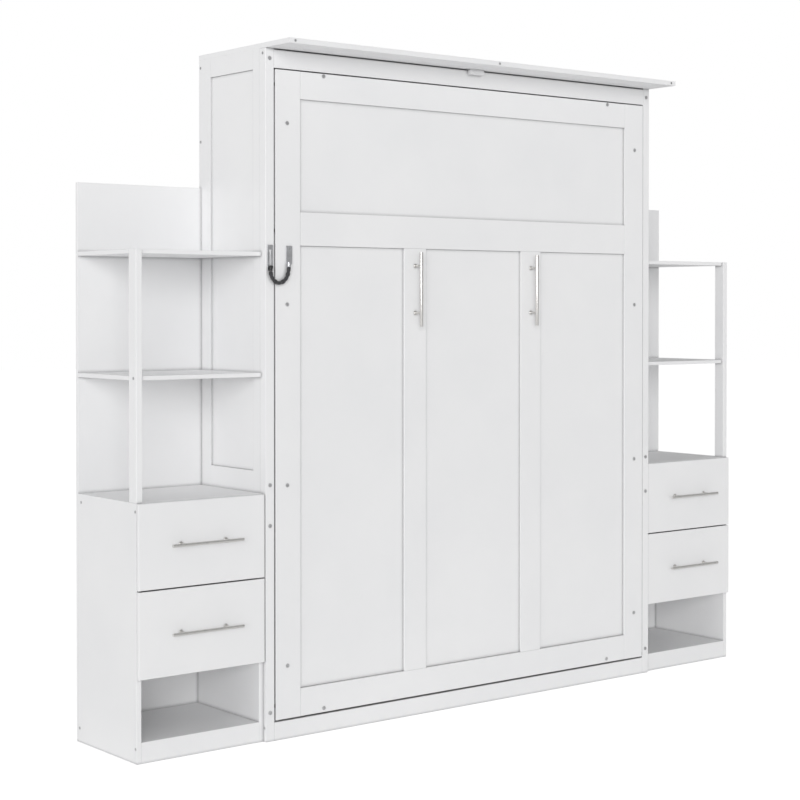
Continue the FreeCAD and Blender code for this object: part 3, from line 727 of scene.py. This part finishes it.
class WALLBED_OT_chain(bpy.types.Operator):
    """Sleeved safety chain between its plate and the track, with its links and end caps"""
    bl_idname = "wall_bed.chain"
    bl_label = "Safety chain"

    def execute(self, context):
        chain = settings(context, "chain")
        low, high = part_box("chain_cord")
        depth = (low.y + high.y) / 2
        route = [Vector((x * MM, depth, z * MM)) for x, z in CORD_ROUTE]
        sleeve = self.sleeve(context, chain, route)
        links = self.links(context, chain, sleeve)
        sleeve.data.bevel_depth = 1.0
        return {"FINISHED"}

    def sleeve(self, context, chain, route):
        curve = bpy.data.curves.new("safety_chain", "CURVE")
        curve.dimensions = "3D"
        curve.resolution_u = 16
        curve.bevel_resolution = 6
        curve.use_fill_caps = True
        line = curve.splines.new("NURBS")
        line.points.add(len(route) - 1)
        for point, place in zip(line.points, route):
            point.co = (*place, 1)
            point.radius = chain.diameter / 2
        line.order_u = 3
        line.use_endpoint_u = True
        curve.materials.append(braided_sleeve(context))
        piece = bpy.data.objects.new("safety_chain", curve)
        context.scene.collection.objects.link(piece)
        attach(piece, "bed")
        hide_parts("chain_cord")
        return piece

    def links(self, context, chain, sleeve):
        """Oval swellings spaced evenly along the sleeve, each turned a quarter from the last."""
        context.view_layer.update()
        ready = sleeve.evaluated_get(context.evaluated_depsgraph_get())
        shown = bpy.data.meshes.new_from_object(ready)
        path = [vert.co.copy() for vert in shown.vertices]
        bpy.data.meshes.remove(shown)
        walk = [0.0]
        for before, after in zip(path, path[1:]):
            walk.append(walk[-1] + (after - before).length)
        shape = bmesh.new()
        step = walk[-1] / chain.links
        for index in range(chain.links):
            want = step * (index + 0.5)
            place = next(n for n in range(1, len(walk)) if walk[n] >= want)
            share = (want - walk[place - 1]) / (walk[place] - walk[place - 1])
            centre = path[place - 1].lerp(path[place], share)
            along = (path[place] - path[place - 1]).normalized()
            wide, flat = (1.0, LINK_FLAT) if index % 2 else (LINK_FLAT, 1.0)
            self.swelling(shape, centre, along, step * LINK_HALF, chain.link_radius, wide, flat)
        material = braided_sleeve(context)
        return mesh_object("chain_links", shape, material, "bed")

    def swelling(self, shape, centre, along, half, radius, wide, flat):
        """One oval swelling round the sleeve's line."""
        sideways = along.cross(AXIS_Y).normalized()
        rings = []
        for row in range(LINK_ROWS):
            angle = math.pi * (row + 0.5) / LINK_ROWS
            reach = half * math.cos(angle)
            size = radius * (LINK_WAIST + (1 - LINK_WAIST) * math.sin(angle))
            ring = []
            for index in range(LINK_SIDES):
                turn = 2 * math.pi * index / LINK_SIDES
                out = sideways * (math.cos(turn) * wide) + AXIS_Y * (math.sin(turn) * flat)
                ring.append(shape.verts.new(centre + along * reach + out * size))
            rings.append(ring)
        for first, second in zip(rings, rings[1:]):
            for index in range(LINK_SIDES):
                after = (index + 1) % LINK_SIDES
                face = shape.faces.new((first[index], first[after], second[after], second[index]))
                face.smooth = True
        shape.faces.new(rings[0])
        shape.faces.new(list(reversed(rings[-1])))


class WALLBED_OT_cabinet(bpy.types.Operator):
    """Painted cabinet, crown, door and towers, with eased edges"""
    bl_idname = "wall_bed.cabinet"
    bl_label = "Painted boards"

    def execute(self, context):
        edge = settings(context, "paint").edge
        for name in PAINTED:
            paint_node(name, white_paint(context), edge)
        for name in BOARDED:
            paint_node(name, faced_board(context), edge * 0.6)
        return {"FINISHED"}


class WALLBED_OT_slats(bpy.types.Operator):
    """Bare pine slats and centre beam, with a moulded holder over each slat end"""
    bl_idname = "wall_bed.slats"
    bl_label = "Slatted base"

    def execute(self, context):
        for name in TIMBER:
            paint_node(name, bare_pine(context), settings(context, "timber").edge)
        shape = bmesh.new()
        length = settings(context, "timber").holder
        for low, high in islands("bed_slats"):
            self.holder(shape, low, high, low.x, low.x + length)
            self.holder(shape, low, high, high.x - length, high.x)
        mesh_object("slat_holders", shape, moulded_black(), "bed")
        return {"FINISHED"}

    def holder(self, shape, low, high, start, stop):
        """A three-sided cap with cut corners, folded over the top of a slat's end."""
        front = low.y + HOLDER_LIP
        back = high.y + HOLDER_WALL
        cut = HOLDER_WALL * HOLDER_CUT
        section = (
            (front, low.z), (front, low.z - HOLDER_WALL), (high.y + cut, low.z - HOLDER_WALL),
            (back, low.z - cut), (back, high.z + cut), (high.y + cut, high.z + HOLDER_WALL),
            (front, high.z + HOLDER_WALL), (front, high.z), (high.y, high.z), (high.y, low.z),
        )
        ends = [
            [shape.verts.new((across, depth, height)) for depth, height in section]
            for across in (start, stop)
        ]
        count = len(section)
        for index in range(count):
            after = (index + 1) % count
            shape.faces.new((ends[0][index], ends[0][after], ends[1][after], ends[1][index]))
        for ring in ends:
            for corners in HOLDER_ENDS:
                shape.faces.new([ring[corner] for corner in corners])


class WALLBED_OT_drawers(bpy.types.Operator):
    """Drawer fronts and boxes"""
    bl_idname = "wall_bed.drawers"
    bl_label = "Drawers"

    def execute(self, context):
        edge = settings(context, "paint").edge
        for side in SIDES:
            for level in LEVELS:
                name = "drawer_%s_%s" % (side, level)
                paint_node(name + "_front", white_paint(context), edge)
                paint_node(name + "_box", faced_board(context), edge * 0.6)
        return {"FINISHED"}


class WALLBED_OT_handles(bpy.types.Operator):
    """Brushed bar handles with a collar under every post"""
    bl_idname = "wall_bed.handles"
    bl_label = "Bar handles"

    def execute(self, context):
        upright = satin_steel(context, "satin steel upright", (22.0, 22.0, 1.0))
        level = satin_steel(context, "satin steel level", (1.0, 22.0, 22.0))
        paint_node("door_handles", upright, 0.0007)
        self.collars(context, "door_handles", "door_stiles", "bed", upright, AXIS_Z)
        for side in SIDES:
            for height in LEVELS:
                name = "drawer_%s_%s" % (side, height)
                paint_node(name + "_handle", level, 0.0006)
                self.collars(context, name + "_handle", name + "_front", name, level, AXIS_X)
        return {"FINISHED"}

    def collars(self, context, handle, face, body, material, along):
        """Small turned collars where the posts meet the face."""
        radius = settings(context, "metal").collar
        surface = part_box(face)[0].y
        reach = DOOR_POST if along is AXIS_Z else DRAWER_POST
        shape = bmesh.new()
        profile = [(radius - inset, height) for inset, height in COLLAR_PROFILE]
        for low, high in islands(handle):
            middle = (low + high) / 2
            for sign in (-1, 1):
                spot = middle + along * (reach * sign)
                lathe(shape, profile, Vector((spot.x, surface, spot.z)), -AXIS_Y)
        mesh_object(handle + "_collars", shape, material, body)


class WALLBED_OT_metalwork(bpy.types.Operator):
    """Plated brackets, legs, rails, bolts and screws"""
    bl_idname = "wall_bed.metalwork"
    bl_label = "Metalwork"

    def execute(self, context):
        zinc = zinc_plate(context)
        for name in PLATED:
            paint_node(name, zinc, 0.0004)
        for name in HEADS:
            paint_node(name, fixing_steel(context), 0.0003)
        paint_node("chain_slider", moulded_black(), 0.0006)
        for name in ("gap_bumpers", "leg_pads"):
            paint_node(name, matt_rubber(), 0.0008)
        return {"FINISHED"}


class WALLBED_OT_struts(bpy.types.Operator):
    """Gas struts with painted tubes, ground rods and end seals"""
    bl_idname = "wall_bed.struts"
    bl_label = "Gas struts"

    def execute(self, context):
        paint_node("strut_cylinders", strut_paint(), 0.0004)
        paint_node("strut_rods", rod_chrome(), 0.0003)
        self.seals()
        return {"FINISHED"}

    def seals(self):
        """A stepped seal ring closing the mouth of each tube."""
        shape = bmesh.new()
        slide = next(joint for joint in frame["joints"] if joint["name"] == "strut_stroke")
        along = Vector(slide["axis"]).normalized()
        for low, high in islands("strut_cylinders"):
            across = (low.x + high.x) / 2
            depth = low.y + TUBE_RADIUS * abs(along.z)
            height = low.z + TUBE_RADIUS * abs(along.y)
            lathe(shape, SEAL_PROFILE, Vector((across, depth, height)), along)
        mesh_object("strut_seals", shape, matt_rubber(), "strut_tubes")


STEPS = (
    WALLBED_OT_stage, WALLBED_OT_chain, WALLBED_OT_cabinet, WALLBED_OT_slats, WALLBED_OT_drawers,
    WALLBED_OT_handles, WALLBED_OT_metalwork, WALLBED_OT_struts,
)


class WALLBED_PT_sidebar(bpy.types.Panel):
    """Buttons for every step and the settings they use"""
    bl_idname = "WALLBED_PT_sidebar"
    bl_label = "Wall bed"
    bl_space_type = "VIEW_3D"
    bl_region_type = "UI"
    bl_category = "Wall bed"

    def draw(self, context):
        for step in STEPS:
            self.layout.operator(step.bl_idname)
        for name, group in GROUPS:
            owner = getattr(context.scene, name)
            section = self.layout.box()
            for prop in group.__annotations__:
                section.prop(owner, prop)


def register():
    for name, group in GROUPS:
        bpy.utils.register_class(group)
        setattr(bpy.types.Scene, name, PointerProperty(type=group))
    for step in STEPS:
        bpy.utils.register_class(step)
    bpy.utils.register_class(WALLBED_PT_sidebar)


def unregister():
    bpy.utils.unregister_class(WALLBED_PT_sidebar)
    for step in reversed(STEPS):
        bpy.utils.unregister_class(step)
    for name, group in reversed(GROUPS):
        delattr(bpy.types.Scene, name)
        bpy.utils.unregister_class(group)


def write_sizes():
    bpy.context.view_layer.update()


def main():
    register()
    for step in STEPS:
        family, name = step.bl_idname.split(".")
        getattr(getattr(bpy.ops, family), name)()
    write_sizes()


if __name__ == "__main__":
    main()
